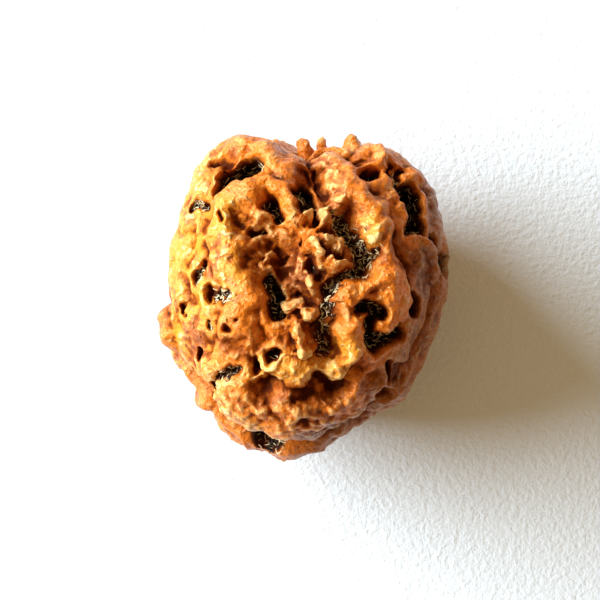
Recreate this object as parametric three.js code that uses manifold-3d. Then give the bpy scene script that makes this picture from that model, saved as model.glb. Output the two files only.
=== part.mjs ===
// A two-faced rudraksha bead: the dried stone of a rudraksha tree's fruit, lying on one face.
// Millimetres, +Z up. The stone's own hole runs along Y, with the stem end towards +Y.
// The origin is the middle of the small flat spot that the bead rests on.
import * as THREE from "three";
import { mergeVertices } from "three/addons/utils/BufferGeometryUtils.js";
import Module from "manifold-3d";

// Main sizes
const FRONT_RISE = 8.6; // mid-plane to the top of the upper face, without its relief
const BACK_DROP = 8.3; // mid-plane to the bottom of the lower face, before the flat spot is trimmed
const REST_HEIGHT = 8.15; // mid-plane above the table
const FULLNESS = 2.25; // 2 is an ellipsoid, more is squarer
const SKETCH_TURN = THREE.MathUtils.degToRad(11); // the long axis leans this much to the right in the sketch
const FACET_DETAIL = 22; // the round body has 20 * (FACET_DETAIL + 1) ** 2 triangles
const FINEST_WIDTH = 0.28; // half-width of the narrowest mark that the facets can carry

// How the hand-sketched strokes shape the upper face
const PIT_WALL = 0.38; // half the width over which a pit's wall falls
const RIM_HEIGHT = 0.22; // the skin swells this much round a pit
const RIM_WIDTH = 0.85;
const RIDGE_GAIN = 1.35;
const RIDGE_FULLNESS = 2.4; // 2 is a rounded ridge, more has a flatter top and steeper sides
const BLEND = 4; // how sharply marks of one kind give way to the largest
const WANDER = 0.2; // how far the strokes wander from their drawn lines
const FINE_WANDER = 0.09;
const UPRIGHT_CUT = 2.5; // how much the pits and hollows are cut straight down, away from the groove
const CUT_ON_SLOPE = 1.7; // a cut on a slope is at most this many times deeper

// The string hole and its mouths
const HOLE_RADIUS = 0.85;
const MOUTH_RADIUS = 1.05;
const MOUTH_DEPTH = 1.1;
const MOUTH_REACH = 10.2; // from the middle of the bead to each mouth
const HOLE_ASIDE = -0.3; // hole's axis beside the middle
const HOLE_RISE = 1.7; // hole's axis above the mid-plane, half way along
const HOLE_TILT = THREE.MathUtils.degToRad(-4); // the stem end is the lower one
const HOLE_SIDES = 14;

// The groove between the two faces
const GROOVE_DEPTH = 0.85;
const GROOVE_WIDTH = 0.58;
const LIP_REACH = 2.2; // how far above the groove the upper face stays drawn in
const LIP_BELOW = 0.35; // the draw-in starts this far under the groove's middle
const LIP_ABOVE = 0.5; // and is full this far over it

// The cells that crumple the sides and the lower face
const CELL_COUNT = 130;
const CELL_SEED = 2024;
const WALL_HEIGHT = 0.95;
const WALL_WIDTH = 1.0;
const CELL_WALL = 0.55; // half the width over which a cell's pit falls
const CELL_SINK = 0.65; // a cell's floor lies this far inside the outline
const SKETCHED_SHARE = 0.2; // what is left of the cells where the relief is sketched by hand
const GROOVE_CALM = 0.75; // how much of the cells is taken away in the groove
const CALM_REACH = 1.6; // how far above and below the groove that lasts

// The plain patch round the flat spot, and the ring sunk round it so that nothing else touches the table
const REST_PLAIN = 2.3;
const REST_EDGE = 3.8;
const REST_RING_END = 8.0;
const REST_RING_DEPTH = 0.5;

// Everything seen from above is sketched in millimetres: right, up, from the middle of the bead.
const OUTLINE = [
  [10.6, 3.0], [10.4, 0.9], [9.9, -1.5], [9.2, -3.5], [8.2, -5.6], [7.2, -7.3], [5.5, -8.1], [3.9, -9.1],
  [2.6, -10.2], [0.9, -11.1], [-0.9, -11.4], [-2.6, -10.8], [-4.1, -10.5], [-5.6, -9.5], [-6.5, -8.2],
  [-7.7, -6.3], [-8.6, -4.7], [-9.4, -3.1], [-9.5, -1.7], [-9.0, -0.1], [-9.0, 2.3], [-8.4, 4.4], [-7.9, 6.4],
  [-7.0, 8.7], [-5.9, 10.0], [-4.4, 11.2], [-2.6, 11.4], [-0.6, 10.9], [1.0, 10.4], [3.3, 10.4], [5.1, 10.8],
  [6.6, 10.6], [8.1, 9.3], [9.4, 7.6], [10.1, 5.9],
];

// Where the groove runs: angle in the sketch from the right, in degrees, and height above the mid-plane
const GROOVE_PATH = [
  [-175, -1.6], [-158, 0.4], [-145, 1.8], [-132, 2.5], [-118, 2.4], [-104, 2.2], [-88, 2.4], [-72, 2.6],
  [-55, 2.8], [-40, 3.1], [-25, 3.0], [-10, 2.8], [5, 2.8], [16, 2.3], [26, 1.2], [38, -0.4], [52, -1.0],
  [62, 0.0], [70, 1.4], [84, 1.6], [94, 1.2], [105, -0.2], [120, -1.5], [140, -2.1], [165, -2.4],
];

// How far the upper face is drawn in above the groove: angle in degrees and millimetres
const LIP_PATH = [
  [-170, 0.1], [-152, 0.6], [-135, 1.05], [-118, 1.1], [-97, 0.8], [-80, 0.3], [-62, 0.25], [-41, 0.45],
  [-14, 0.25], [7, 0.4], [24, 0.3], [40, 0.0], [62, 0.1], [72, 0.3], [84, 0.35], [95, 0.4], [108, 0.1],
  [140, 0.0],
];

const RIDGE = "ridge";
const HOLLOW = "hollow";
const PIT = "pit";

// Each mark is a stroke over sketch points: kind, half-width, height or depth, points.
const MARKS = [
  // swellings of the upper face
  [RIDGE, 1.7, 0.45, [-5.9, 10.2], [-6.8, 8.7], [-7.1, 6.9], [-7.9, 4.8], [-8.3, 2.6], [-8.4, 0.5]],
  [RIDGE, 1.4, 0.7, [-4.1, 7.1], [-4.6, 6.3], [-5.0, 4.4], [-5.1, 2.5], [-4.1, 0.9], [-3.6, -0.4],
    [-4.2, -1.8]],
  [RIDGE, 1.4, 0.5, [-4.5, 10.7], [-2.6, 10.4], [-0.6, 9.2], [0.0, 8.4]],
  [RIDGE, 0.8, 0.55, [-3.9, 7.4], [-2.6, 7.5], [-1.0, 7.4], [-0.2, 6.4]],
  [RIDGE, 0.8, 0.4, [-4.1, 4.1], [-2.5, 3.7], [-0.9, 4.1]],
  [RIDGE, 0.45, 0.4, [-2.9, 3.2], [-2.0, 2.8], [-2.2, 2.2], [-1.5, 1.4]],
  [RIDGE, 1.4, 0.6, [2.4, 9.2], [3.1, 7.9], [4.2, 6.8], [4.9, 6.0]],
  [RIDGE, 0.9, 0.6, [4.4, 6.2], [5.0, 5.8]],
  [RIDGE, 1.3, 0.75, [5.4, 4.4], [5.6, 3.0], [6.1, 1.6], [6.5, 0.2], [6.6, -1.4]],
  [RIDGE, 0.9, 0.75, [6.1, 1.4], [4.8, 1.0], [3.6, 0.5], [2.7, -0.2], [2.6, -1.1]],
  [RIDGE, 1.1, 0.7, [3.4, -1.9], [3.4, -3.4], [2.7, -4.6]],
  [RIDGE, 0.9, 0.5, [2.7, -4.6], [0.9, -4.8], [-0.6, -5.5], [-1.4, -4.9]],
  [RIDGE, 1.1, 0.15, [7.1, 6.5], [7.7, 4.5], [8.2, 2.6], [8.2, 0.4], [7.7, -2.4], [6.9, -4.2]],
  [RIDGE, 1.0, 0.3, [4.8, 10.4], [7.2, 9.7], [8.6, 8.5], [9.3, 7.2], [9.8, 5.7], [10.0, 4.1]],
  [RIDGE, 0.6, 0.5, [8.1, 8.2]],
  [RIDGE, 0.45, 0.45, [5.5, 10.2], [5.9, 9.4], [6.1, 8.7]],
  [RIDGE, 0.5, 0.45, [6.9, 6.6], [7.4, 5.6], [8.0, 4.4], [9.1, 3.1], [9.6, 1.2]],
  [RIDGE, 2.3, 0.55, [-4.2, -7.2], [-2.0, -8.2], [0.8, -7.9], [3.3, -7.2]],
  [RIDGE, 1.1, 0.35, [-6.2, -5.3], [-4.9, -3.8], [-3.6, -2.8]],
  [RIDGE, 1.0, 0.5, [-9.3, -1.6], [-9.1, -3.0]],
  [RIDGE, 0.9, 0.5, [6.9, -5.3], [7.3, -6.1]],
  [RIDGE, 0.6, 0.6, [1.5, 10.1], [3.5, 10.1]],
  // knobs in the middle
  [RIDGE, 0.68, 0.95, [1.1, 3.3]],
  [RIDGE, 0.42, 0.8, [2.0, 4.0], [2.7, 3.7], [2.9, 3.2]],
  [RIDGE, 0.42, 0.95, [2.0, 2.6], [2.5, 2.3], [3.0, 1.9]],
  [RIDGE, 0.6, 0.85, [-0.9, -0.5], [0.2, -0.8], [1.0, -1.1]],
  [RIDGE, 0.7, 0.65, [0.1, -2.6], [0.5, -3.4]],
  [RIDGE, 0.5, 0.75, [0.5, 5.4]],
  [RIDGE, 0.5, 0.8, [1.7, 5.8], [1.9, 5.0]],
  [RIDGE, 0.5, 0.5, [0.9, 0.8]],
  // broad hollows
  [HOLLOW, 1.5, 1.3, [2.9, 5.1], [3.4, 4.1], [4.4, 2.9], [4.0, 1.8], [2.2, 0.6], [2.0, -0.9], [1.7, -2.4],
    [1.8, -3.5]],
  [HOLLOW, 2.3, 1.7, [-1.4, 3.4], [-1.0, 1.6], [-0.5, 0.2]],
  [HOLLOW, 1.0, 0.4, [1.5, 8.4], [1.6, 7.0], [1.2, 5.4]],
  [HOLLOW, 0.45, 0.5, [-0.9, 10.8], [0.6, 10.2]],
  [HOLLOW, 0.9, 0.6, [0.7, 8.0], [0.4, 7.4], [0.4, 6.8]],
  [HOLLOW, 1.3, 1.0, [0.9, -6.4], [2.3, -6.0]],
  [HOLLOW, 0.9, 0.6, [-2.3, -5.7], [-2.1, -6.8]],
  [HOLLOW, 1.2, 0.6, [-3.8, 4.9], [-2.9, 4.4]],
  [HOLLOW, 0.6, 0.3, [4.4, 9.5]],
  [HOLLOW, 0.7, 0.6, [6.6, 9.2], [6.3, 8.7]],
  [HOLLOW, 1.2, 0.7, [-2.4, -10.0]],
  [HOLLOW, 1.3, 0.7, [-5.1, 9.6], [-3.6, 9.4]],
  // holes with steep walls
  [PIT, 0.95, 2.5, [-3.3, 9.0], [-4.4, 8.8]],
  [PIT, 0.5, 1.9, [-4.8, 8.4], [-5.3, 7.0]],
  [PIT, 0.28, 0.55, [-7.0, 6.1], [-6.6, 6.3]],
  [PIT, 0.28, 0.45, [-5.1, 5.0]],
  [PIT, 0.4, 1.2, [-2.2, 6.5], [-1.4, 5.6]],
  [PIT, 0.55, 1.4, [0.1, 7.1], [0.4, 6.4]],
  [PIT, 0.35, 1.2, [-3.2, 4.4], [-2.4, 4.5]],
  [PIT, 0.28, 0.35, [-2.5, 2.3]],
  [PIT, 0.28, 0.55, [-6.7, 2.1], [-6.9, 1.0]],
  [PIT, 0.3, 0.75, [-5.9, 0.3], [-6.1, -0.4]],
  [PIT, 0.42, 0.8, [-5.5, 0.0], [-4.6, 0.15]],
  [PIT, 0.16, 0.45, [-8.0, -0.5], [-7.8, -1.4]],
  [PIT, 0.2, 0.4, [-6.3, -1.8], [-6.0, -2.2]],
  [PIT, 0.28, 0.6, [-4.7, -1.9]],
  [PIT, 0.16, 0.5, [-3.8, -1.5]],
  [PIT, 0.14, 0.25, [2.0, 3.2], [2.4, 2.9], [3.0, 2.7]],
  [PIT, 0.12, 0.25, [1.6, 4.3], [1.85, 3.6], [1.9, 3.1]],
  [PIT, 0.14, 0.35, [0.3, 3.9], [0.3, 2.8], [0.8, 2.5]],
  [PIT, 0.15, 0.4, [1.1, 5.6], [1.2, 5.0]],
  [PIT, 0.12, 0.25, [1.2, 8.8], [1.3, 7.2]],
  [PIT, 0.12, 0.4, [-0.9, 0.0], [0.5, -0.2], [1.3, -0.7]],
  [PIT, 0.12, 0.4, [-0.8, -1.4], [0.3, -1.6], [1.1, -1.8]],
  [PIT, 0.2, 0.45, [-6.9, -3.5], [-6.7, -4.1]],
  [PIT, 0.16, 0.5, [-7.7, -5.0], [-7.1, -5.8]],
  [PIT, 0.55, 1.9, [-1.9, 0.8], [-1.7, 0.0]],
  [PIT, 0.45, 1.6, [-1.8, -0.2], [-1.2, -1.1]],
  [PIT, 0.35, 0.65, [-5.6, -6.0], [-4.4, -5.0]],
  [PIT, 0.38, 0.9, [-3.0, -4.7]],
  [PIT, 0.48, 1.1, [-1.7, -3.9]],
  [PIT, 0.48, 1.4, [4.4, -0.7], [5.4, -1.0]],
  [PIT, 0.38, 1.3, [5.0, -1.5], [5.1, -2.7]],
  [PIT, 0.55, 1.6, [4.9, -3.2], [6.7, -2.6]],
  [PIT, 0.4, 1.0, [7.9, -0.1], [8.1, -0.8]],
  [PIT, 0.42, 1.0, [4.8, 8.6], [5.5, 8.4]],
  [PIT, 0.3, 0.7, [6.4, 8.4], [6.9, 8.35], [7.3, 8.8]],
  [PIT, 0.3, 1.0, [7.1, 8.4], [6.9, 7.6], [7.3, 7.1]],
  [PIT, 0.9, 2.3, [7.8, 7.0], [8.0, 5.9], [8.1, 5.0]],
  [PIT, 0.35, 1.0, [9.2, 4.1], [9.5, 3.7]],
  [PIT, 0.5, 0.45, [2.8, 5.4], [3.4, 4.4], [4.7, 3.0], [4.2, 1.9], [2.2, 0.6]],
  [PIT, 0.42, 1.0, [0.8, 2.1], [1.5, 1.6]],
  [PIT, 0.5, 0.4, [1.0, -5.4], [1.9, -5.9]],
  [PIT, 0.7, 0.45, [7.0, -5.1], [7.2, -5.6]],
  [PIT, 0.32, 0.75, [6.4, -4.9], [6.5, -5.8]],
  [PIT, 0.5, 0.9, [6.1, -6.6], [6.2, -7.3]],
];

// The blunt spines round the stem end: tip's right and up in the sketch, height above the mid-plane,
// radius at the tip and at the root, and the lean of the tip to the right, in degrees
const SPINES = [
  [0.3, 11.4, 0.2, 0.36, 1.0, -14],
  [1.8, 11.4, -0.4, 0.3, 0.62, 2],
  [3.7, 11.7, 0.9, 0.3, 1.7, -7],
  [3.3, 10.7, -1.0, 0.3, 0.7, 8],
  [0.7, 10.6, -1.9, 0.3, 0.7, -8],
];
const SPINE_SIDES = 7;
const SPINE_LENGTH = 3.2; // from the tip to the root, which is sunk well inside the stone
const SPINE_WANDER = 0.4; // how much a spine wanders, as a share of the strokes' wandering

const smooth = THREE.MathUtils.smoothstep;

// Seeded random numbers from 0 to 1
function randomSource(seed) {
  let state = seed;
  return () => {
    state = (state + 0x6d2b79f5) | 0;
    let t = Math.imul(state ^ (state >>> 15), 1 | state);
    t = (t + Math.imul(t ^ (t >>> 7), 61 | t)) ^ t;
    return ((t ^ (t >>> 14)) >>> 0) / 4294967296;
  };
}

// A value read between the stops of a closed list of [angle, value], eased from each stop to the next
function roundTrip(stops, degrees) {
  const first = stops[0][0];
  const angle = first + THREE.MathUtils.euclideanModulo(degrees - first, 360);
  let i = stops.length - 1;
  while (stops[i][0] > angle) i -= 1;
  const [from, low] = stops[i];
  const [next, high] = stops[(i + 1) % stops.length];
  const to = i + 1 < stops.length ? next : next + 360;
  const share = (angle - from) / (to - from);
  return low + (high - low) * share * share * (3 - 2 * share);
}

// The outline as a list of [angle, radius], by rising angle
const outlineStops = OUTLINE.map(([right, up]) => [
  THREE.MathUtils.radToDeg(Math.atan2(up, right)),
  Math.hypot(right, up),
]).sort((a, b) => a[0] - b[0]);

// A sketch point as the bead's own x and y
function fromSketch(right, up) {
  const c = Math.cos(SKETCH_TURN);
  const s = Math.sin(SKETCH_TURN);
  return [right * c - up * s, right * s + up * c];
}

// Angle in the sketch, in degrees, of a direction in the bead's frame
function sketchAngle(direction) {
  return THREE.MathUtils.radToDeg(Math.atan2(direction.y, direction.x) - SKETCH_TURN);
}

// Distance from the middle to the plain rounded body, along a unit direction
function bodyRadius(direction) {
  const flat = Math.hypot(direction.x, direction.y) / roundTrip(outlineStops, sketchAngle(direction));
  const high = Math.abs(direction.z) / (direction.z > 0 ? FRONT_RISE : BACK_DROP);
  return (flat ** FULLNESS + high ** FULLNESS) ** (-1 / FULLNESS);
}

// The point of the upper face that lies over a sketch point
function onUpperFace([right, up]) {
  const [x, y] = fromSketch(right, up);
  const reach = roundTrip(outlineStops, THREE.MathUtils.radToDeg(Math.atan2(up, right)));
  const share = Math.min(Math.hypot(x, y) / reach, 0.995);
  const z = FRONT_RISE * (1 - share ** FULLNESS) ** (1 / FULLNESS);
  return new THREE.Vector3(x, y, z);
}

const marks = MARKS.filter((mark) => mark[1] >= FINEST_WIDTH).map(([kind, width, size, ...points]) => ({
  kind,
  width,
  size,
  points: points.map(onUpperFace),
}));

// Distance from a point to a stroke
const nearest = new THREE.Vector3();
function strokeDistance(point, stroke) {
  if (stroke.length === 1) return point.distanceTo(stroke[0]);
  let best = Infinity;
  for (let i = 1; i < stroke.length; i += 1) {
    new THREE.Line3(stroke[i - 1], stroke[i]).closestPointToPoint(point, true, nearest);
    best = Math.min(best, nearest.distanceTo(point));
  }
  return best;
}

// A point nudged to and fro by a few waves, so that nothing is quite straight or even
function wandering({ x, y, z }) {
  const { sin } = Math;
  return new THREE.Vector3(
    x + WANDER * sin(2.1 * y + 1.3 * z + 0.7) + FINE_WANDER * sin(5.3 * z - 3.7 * y + 2.1),
    y + WANDER * sin(2.3 * x - 1.2 * z + 1.9) + FINE_WANDER * sin(4.9 * x + 4.1 * z + 0.3),
    z + WANDER * sin(1.9 * x + 1.7 * y + 3.1) + FINE_WANDER * sin(5.7 * y - 3.3 * x + 1.2),
  );
}

// How much of a mark is felt at a distance from its stroke
function markShare(kind, width, away) {
  if (kind === RIDGE) return RIDGE_GAIN * Math.max(1 - (away / (width * 1.1)) ** RIDGE_FULLNESS, 0);
  if (kind === HOLLOW) return 1 - smooth(away, 0, width * 1.25);
  const wall = Math.min(PIT_WALL, width * 0.75);
  return 1 - smooth(away, width - wall, width + wall);
}

// The ridges' height and the depth cut by hollows and pits, at a point of the plain body.
// Marks of one kind blend into their largest.
function sketchedRelief(point) {
  const sums = { [RIDGE]: 0, [HOLLOW]: 0, [PIT]: 0 };
  const moved = wandering(point);
  for (const { kind, width, size, points } of marks) {
    const away = strokeDistance(moved, points);
    sums[kind] += (size * markShare(kind, width, away)) ** BLEND;
    if (kind === PIT) {
      const rim = Math.max(1 - ((away - width - 0.4 * RIM_WIDTH) / (0.6 * RIM_WIDTH)) ** 2, 0);
      sums[RIDGE] += (RIM_HEIGHT * Math.min(width / 0.5, 1) * rim) ** BLEND;
    }
  }
  return { ridge: sums[RIDGE] ** (1 / BLEND), cut: sums[HOLLOW] ** (1 / BLEND) + sums[PIT] ** (1 / BLEND) };
}

// Cells spread evenly over the whole body, each with its own stretch and depth
function makeCells() {
  const random = randomSource(CELL_SEED);
  const golden = Math.PI * (3 - Math.sqrt(5));
  return Array.from({ length: CELL_COUNT }, (_, i) => {
    const z = 1 - (2 * (i + 0.5)) / CELL_COUNT;
    const turn = golden * i + (random() - 0.5) * 0.9;
    const flat = Math.sqrt(1 - z * z);
    const rise = z + (random() - 0.5) * 0.12;
    const direction = new THREE.Vector3(flat * Math.cos(turn), flat * Math.sin(turn), rise).normalize();
    const along = new THREE.Vector3(random() - 0.5, random() - 0.5, random() - 0.5);
    along.cross(direction).normalize();
    const deep = random() < 0.5;
    return {
      centre: direction.multiplyScalar(bodyRadius(direction)),
      along,
      stretch: 0.35 + 0.4 * random(),
      width: 0.5 + 0.45 * random(),
      depth: deep ? 0.9 + 0.8 * random() : 0.1 + 0.3 * random(),
    };
  });
}
const cells = makeCells();

// The walls between the cells stand up, and each cell sinks to its own depth
const offset = new THREE.Vector3();
function cellRelief(point) {
  const warped = new THREE.Vector3(
    point.x + 0.55 * Math.sin(0.9 * point.y + 1.3),
    point.y + 0.55 * Math.sin(0.8 * point.z + 0.4),
    point.z + 0.55 * Math.sin(1.1 * point.x + 2.1),
  );
  let first = Infinity;
  let second = Infinity;
  let home = cells[0];
  for (const cell of cells) {
    offset.subVectors(warped, cell.centre);
    const along = offset.dot(cell.along);
    const d = Math.sqrt(Math.max(offset.lengthSq() - cell.stretch * along * along, 0));
    if (d < first) {
      second = first;
      first = d;
      home = cell;
    } else if (d < second) {
      second = d;
    }
  }
  const wall = WALL_HEIGHT * Math.exp(-(((second - first) / WALL_WIDTH) ** 2));
  const pit = home.depth * (1 - smooth(first, home.width - CELL_WALL, home.width + CELL_WALL));
  return wall - CELL_SINK - pit;
}

// The finished surface's point along a unit direction. Ridges, cells and the groove go outwards or inwards,
// and the sketched pits and hollows are cut nearly straight down, as they are seen from above.
function surfacePoint(direction) {
  const plain = bodyRadius(direction);
  const point = direction.clone().multiplyScalar(plain);
  const angle = sketchAngle(direction);
  const above = point.z - roundTrip(GROOVE_PATH, angle);
  const groove = GROOVE_DEPTH * Math.exp(-((above / GROOVE_WIDTH) ** 2));
  const drawnIn = smooth(above, -LIP_BELOW, LIP_ABOVE) * Math.exp(-((Math.max(above, 0) / LIP_REACH) ** 2));
  const lip = roundTrip(LIP_PATH, angle) * drawnIn;
  const sketched = smooth(above, -0.6, 0.8);
  const calm = 1 - GROOVE_CALM * Math.exp(-((above / CALM_REACH) ** 2));
  const cellShare = calm * (SKETCHED_SHARE + (1 - SKETCHED_SHARE) * (1 - sketched));
  const restDistance = point.z < 0 ? Math.hypot(point.x, point.y) : Infinity;
  const clearOfRest = smooth(restDistance, REST_PLAIN, REST_EDGE);
  const restRing = REST_RING_DEPTH * clearOfRest * (1 - smooth(restDistance, REST_EDGE, REST_RING_END));
  const { ridge, cut } = sketchedRelief(point);
  const outward = ridge + cellRelief(point) * cellShare * clearOfRest - restRing - groove - lip;
  const upright = direction.clone();
  upright.z += 0.3 + UPRIGHT_CUT * smooth(above, 1.0, 4.0);
  upright.normalize();
  const steeper = THREE.MathUtils.clamp(1 / Math.max(direction.z, 0.01), 1, CUT_ON_SLOPE);
  return point.addScaledVector(direction, outward).addScaledVector(upright, -steeper * cut);
}

function stoneBody() {
  const geometry = new THREE.IcosahedronGeometry(1, FACET_DETAIL);
  const place = geometry.attributes.position;
  const direction = new THREE.Vector3();
  for (let i = 0; i < place.count; i += 1) {
    direction.fromBufferAttribute(place, i).normalize();
    const point = surfacePoint(direction);
    place.setXYZ(i, point.x, point.y, Math.max(point.z, -REST_HEIGHT));
  }
  return geometry;
}

// The string hole, with a flared mouth at each end, as a solid to cut away
function stringHole() {
  const flare = (MOUTH_RADIUS - HOLE_RADIUS) / MOUTH_DEPTH;
  const beyond = 4;
  const wide = MOUTH_RADIUS + flare * beyond;
  const profile = [
    [0, -MOUTH_REACH - beyond],
    [wide, -MOUTH_REACH - beyond],
    [HOLE_RADIUS, -MOUTH_REACH + MOUTH_DEPTH],
    [HOLE_RADIUS, MOUTH_REACH - MOUTH_DEPTH],
    [wide, MOUTH_REACH + beyond],
    [0, MOUTH_REACH + beyond],
  ].map(([r, y]) => new THREE.Vector2(r, y));
  return new THREE.LatheGeometry(profile, HOLE_SIDES).rotateX(HOLE_TILT).translate(HOLE_ASIDE, 0, HOLE_RISE);
}

function spine([right, up, z, tip, root, lean]) {
  const [x, y] = fromSketch(right, up);
  const geometry = new THREE.CylinderGeometry(tip, root, SPINE_LENGTH, SPINE_SIDES);
  geometry.translate(0, -SPINE_LENGTH / 2, 0);
  geometry.rotateZ(SKETCH_TURN - THREE.MathUtils.degToRad(lean));
  geometry.translate(x, y, z);
  const place = geometry.attributes.position;
  for (let i = 0; i < place.count; i += 1) {
    const point = new THREE.Vector3().fromBufferAttribute(place, i);
    point.lerp(wandering(point), SPINE_WANDER);
    place.setXYZ(i, point.x, point.y, point.z);
  }
  return geometry;
}

const wasm = await Module();
wasm.setup();

function toSolid(geometry) {
  const bare = geometry.clone();
  bare.deleteAttribute("normal");
  bare.deleteAttribute("uv");
  const merged = mergeVertices(bare, 1e-4);
  return new wasm.Manifold(
    new wasm.Mesh({
      numProp: 3,
      vertProperties: merged.attributes.position.array,
      triVerts: new Uint32Array(merged.index.array),
    }),
  );
}

function toGeometry(solid) {
  const { vertProperties, triVerts } = solid.getMesh();
  const geometry = new THREE.BufferGeometry();
  geometry.setAttribute("position", new THREE.BufferAttribute(new Float32Array(vertProperties), 3));
  geometry.setIndex(new THREE.BufferAttribute(new Uint32Array(triVerts), 1));
  geometry.computeVertexNormals();
  return geometry;
}

let stone = toSolid(stoneBody());
stone = stone.subtract(toSolid(stringHole()));
for (const each of SPINES) stone = stone.add(toSolid(spine(each)));

const stoneMaterial = new THREE.MeshStandardMaterial({ color: 0xb4702f, roughness: 0.42, metalness: 0 });
const beadMesh = new THREE.Mesh(toGeometry(stone), stoneMaterial);
beadMesh.name = "bead";
beadMesh.position.z = REST_HEIGHT;

const bead = new THREE.Group();
bead.add(beadMesh);

export default bead;
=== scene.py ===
# %% [markdown]
# # Two mukhi rudraksha bead
#
# A rudraksha bead is the dried stone of a fruit, one hard woody piece. Two grooves that run from end to
# end part its skin into two faces, and the bead lies on one of them here. The CAD model holds the stone
# as a solid with large facets. This scene gives the same form a fine surface, fills its pits with the
# dried pulp that clings there, and lights it on white paper. Everything is in metres and in the CAD
# model's own frame.

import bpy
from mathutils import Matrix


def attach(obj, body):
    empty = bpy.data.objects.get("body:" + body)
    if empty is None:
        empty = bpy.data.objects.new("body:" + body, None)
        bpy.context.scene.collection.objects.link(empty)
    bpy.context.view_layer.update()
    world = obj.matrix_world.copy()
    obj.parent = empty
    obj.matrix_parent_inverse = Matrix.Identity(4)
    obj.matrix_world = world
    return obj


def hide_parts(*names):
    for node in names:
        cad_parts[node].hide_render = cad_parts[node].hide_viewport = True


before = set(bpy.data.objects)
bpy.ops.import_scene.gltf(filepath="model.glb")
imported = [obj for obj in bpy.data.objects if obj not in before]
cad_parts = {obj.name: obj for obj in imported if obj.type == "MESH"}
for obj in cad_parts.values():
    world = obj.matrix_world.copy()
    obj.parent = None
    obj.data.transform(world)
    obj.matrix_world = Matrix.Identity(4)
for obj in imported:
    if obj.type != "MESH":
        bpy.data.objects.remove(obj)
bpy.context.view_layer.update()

# %% Libraries and units
import math

import bpy
import numpy as np
from mathutils import Vector
from mathutils.kdtree import KDTree

MM = 0.001

# %% [markdown]
# ## Small helpers
#
# Colours are given as on a screen, in sRGB hex, and Blender's shaders work in linear light, so one
# function turns them. `smooth` is the usual eased step from 0 to 1, for whole arrays at once.

# %% Colours, eased steps and nodes
def linear(hex_colour):
    """An sRGB hex colour as the linear RGBA that shaders take."""
    parts = [int(hex_colour[i : i + 2], 16) / 255 for i in (1, 3, 5)]
    return (*[p / 12.92 if p <= 0.04045 else ((p + 0.055) / 1.055) ** 2.4 for p in parts], 1.0)


def smooth(x, low, high):
    """0 below `low`, 1 above `high`, and eased between them."""
    t = np.clip((x - low) / (high - low), 0, 1)
    return t * t * (3 - 2 * t)


def add(tree, kind, inputs=None, **settings):
    """Adds a node. Each input is given a value, or another node's output to link to."""
    node = tree.nodes.new(kind)
    for name, value in settings.items():
        setattr(node, name, value)
    for name, value in (inputs or {}).items():
        if isinstance(value, bpy.types.NodeSocket):
            tree.links.new(value, node.inputs[name])
        else:
            node.inputs[name].default_value = value
    return node


def maths(tree, operation, first, second):
    """Adds a sum, a product or the like of two numbers to a tree."""
    return add(tree, "ShaderNodeMath", {0: first, 1: second}, operation=operation).outputs[0]


# %% [markdown]
# ## The plain rounded body
#
# The real stone is a slightly squared ellipsoid. Seen from above its outline is sketched in millimetres,
# right and up from the middle. Its long axis leans to the right in the sketch, so sketch points are turned
# by that angle to reach the CAD frame, where the string hole runs along Y.

# %% Driving sizes, in millimetres
FRONT_RISE = 8.6  # mid-plane to the top of the upper face, without its relief
BACK_DROP = 8.3  # mid-plane to the bottom of the lower face, before the flat spot is trimmed
REST_HEIGHT = 8.15  # mid-plane above the table
FULLNESS = 2.25  # 2 is an ellipsoid, more is squarer
SKETCH_TURN = math.radians(11)

# %% The outline, the groove and the lip, from the sketch
# Right and up, in millimetres
OUTLINE = [
  [10.6, 3.0], [10.4, 0.9], [9.9, -1.5], [9.2, -3.5], [8.2, -5.6], [7.2, -7.3], [5.5, -8.1], [3.9, -9.1],
  [2.6, -10.2], [0.9, -11.1], [-0.9, -11.4], [-2.6, -10.8], [-4.1, -10.5], [-5.6, -9.5], [-6.5, -8.2],
  [-7.7, -6.3], [-8.6, -4.7], [-9.4, -3.1], [-9.5, -1.7], [-9.0, -0.1], [-9.0, 2.3], [-8.4, 4.4], [-7.9, 6.4],
  [-7.0, 8.7], [-5.9, 10.0], [-4.4, 11.2], [-2.6, 11.4], [-0.6, 10.9], [1.0, 10.4], [3.3, 10.4], [5.1, 10.8],
  [6.6, 10.6], [8.1, 9.3], [9.4, 7.6], [10.1, 5.9],
]
# Angle in the sketch from the right, in degrees, and height above the mid-plane
GROOVE_PATH = [
  [-175, -1.6], [-158, 0.4], [-145, 1.8], [-132, 2.5], [-118, 2.4], [-104, 2.2], [-88, 2.4], [-72, 2.6],
  [-55, 2.8], [-40, 3.1], [-25, 3.0], [-10, 2.8], [5, 2.8], [16, 2.3], [26, 1.2], [38, -0.4], [52, -1.0],
  [62, 0.0], [70, 1.4], [84, 1.6], [94, 1.2], [105, -0.2], [120, -1.5], [140, -2.1], [165, -2.4],
]
# How far the upper face is drawn in above the groove: angle in degrees and millimetres
LIP_PATH = [
  [-170, 0.1], [-152, 0.6], [-135, 1.05], [-118, 1.1], [-97, 0.8], [-80, 0.3], [-62, 0.25], [-41, 0.45],
  [-14, 0.25], [7, 0.4], [24, 0.3], [40, 0.0], [62, 0.1], [72, 0.3], [84, 0.35], [95, 0.4], [108, 0.1],
  [140, 0.0],
]

# %% The body as a radius for each direction
def round_trip(stops, degrees):
    """A value read between the stops of a closed list of [angle, value], eased from stop to stop."""
    angles = np.array([stop[0] for stop in stops] + [stops[0][0] + 360.0])
    values = np.array([stop[1] for stop in stops] + [stops[0][1]])
    angle = angles[0] + np.mod(degrees - angles[0], 360)
    i = np.clip(np.searchsorted(angles, angle, side="right") - 1, 0, len(stops) - 1)
    share = (angle - angles[i]) / (angles[i + 1] - angles[i])
    return values[i] + (values[i + 1] - values[i]) * share * share * (3 - 2 * share)


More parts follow.
